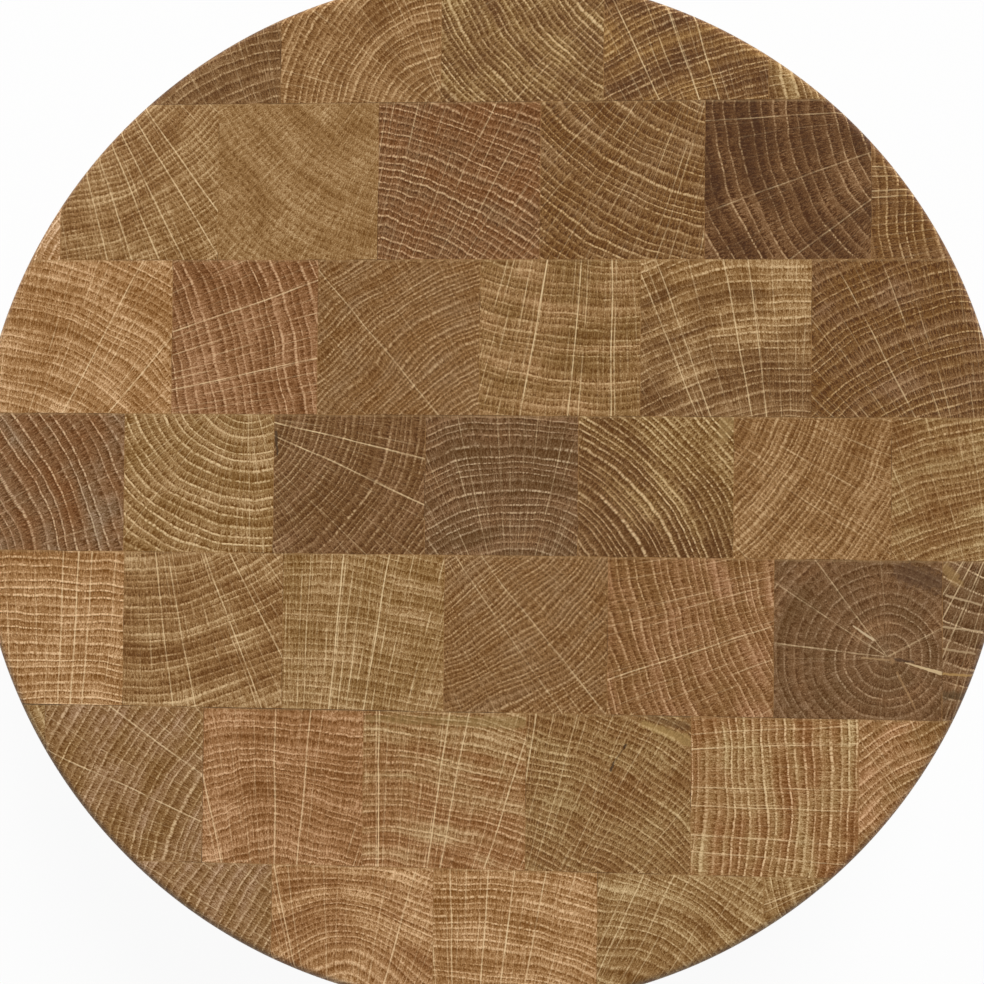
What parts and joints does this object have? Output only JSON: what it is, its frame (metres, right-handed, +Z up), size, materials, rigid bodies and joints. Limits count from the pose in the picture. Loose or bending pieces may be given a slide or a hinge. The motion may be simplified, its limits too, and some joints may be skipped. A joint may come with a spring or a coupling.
{
  "type": "round chopping block",
  "caption": "Round end-grain chopping block glued up from square oak sticks in offset rows, with rounded rims and two flat faces.",
  "frame": {"origin": "centre of the disc on its underside, the plane that it rests on", "axes": "+Z up along the disc's axis, out of the work face; rows of sticks run along X, row 1 is at +Y"},
  "size_m": [0.353, 0.353, 0.06],
  "materials": {
    "oak_dark": "sanded and oiled oak end grain",
    "oak_red": "sanded and oiled oak end grain",
    "oak_brown": "sanded and oiled oak end grain",
    "oak_olive": "sanded and oiled oak end grain",
    "oak_tan": "sanded and oiled oak end grain",
    "oak_orange": "sanded and oiled oak end grain",
    "oak_yellow": "sanded and oiled oak end grain",
    "glue": "cured wood glue, sanded flush"
  },
  "bodies": {
    "root": {"row1_block1": "oak_brown", "row1_block2": "oak_brown", "row1_block3": "oak_olive", "row1_block4": "oak_red", "row1_block5": "oak_tan", "row2_block1": "oak_orange", "row2_block2": "oak_brown", "row2_block3": "oak_orange", "row2_block4": "oak_red", "row2_block5": "oak_olive", "row2_block6": "oak_dark", "row2_block7": "oak_orange", "row3_block1": "oak_tan", "row3_block2": "oak_red", "row3_block3": "oak_brown", "row3_block4": "oak_olive", "row3_block5": "oak_tan", "row3_block6": "oak_brown", "row4_block1": "oak_red", "row4_block2": "oak_tan", "row4_block3": "oak_dark", "row4_block4": "oak_dark", "row4_block5": "oak_dark", "row4_block6": "oak_orange", "row4_block7": "oak_tan", "row5_block1": "oak_orange", "row5_block2": "oak_olive", "row5_block3": "oak_olive", "row5_block4": "oak_brown", "row5_block5": "oak_orange", "row5_block6": "oak_dark", "row5_block7": "oak_dark", "row6_block1": "oak_tan", "row6_block2": "oak_dark", "row6_block3": "oak_orange", "row6_block4": "oak_orange", "row6_block5": "oak_olive", "row6_block6": "oak_yellow", "row6_block7": "oak_brown", "row7_block1": "oak_dark", "row7_block2": "oak_orange", "row7_block3": "oak_orange", "row7_block4": "oak_yellow", "row7_block5": "oak_yellow", "glue_in_row1": "glue", "glue_in_row2": "glue", "glue_in_row3": "glue", "glue_in_row4": "glue", "glue_in_row5": "glue", "glue_in_row6": "glue", "glue_in_row7": "glue", "glue_rows_1_2": "glue", "glue_rows_2_3": "glue", "glue_rows_3_4": "glue", "glue_rows_4_5": "glue", "glue_rows_5_6": "glue", "glue_rows_6_7": "glue"}
  },
  "joints": []
}
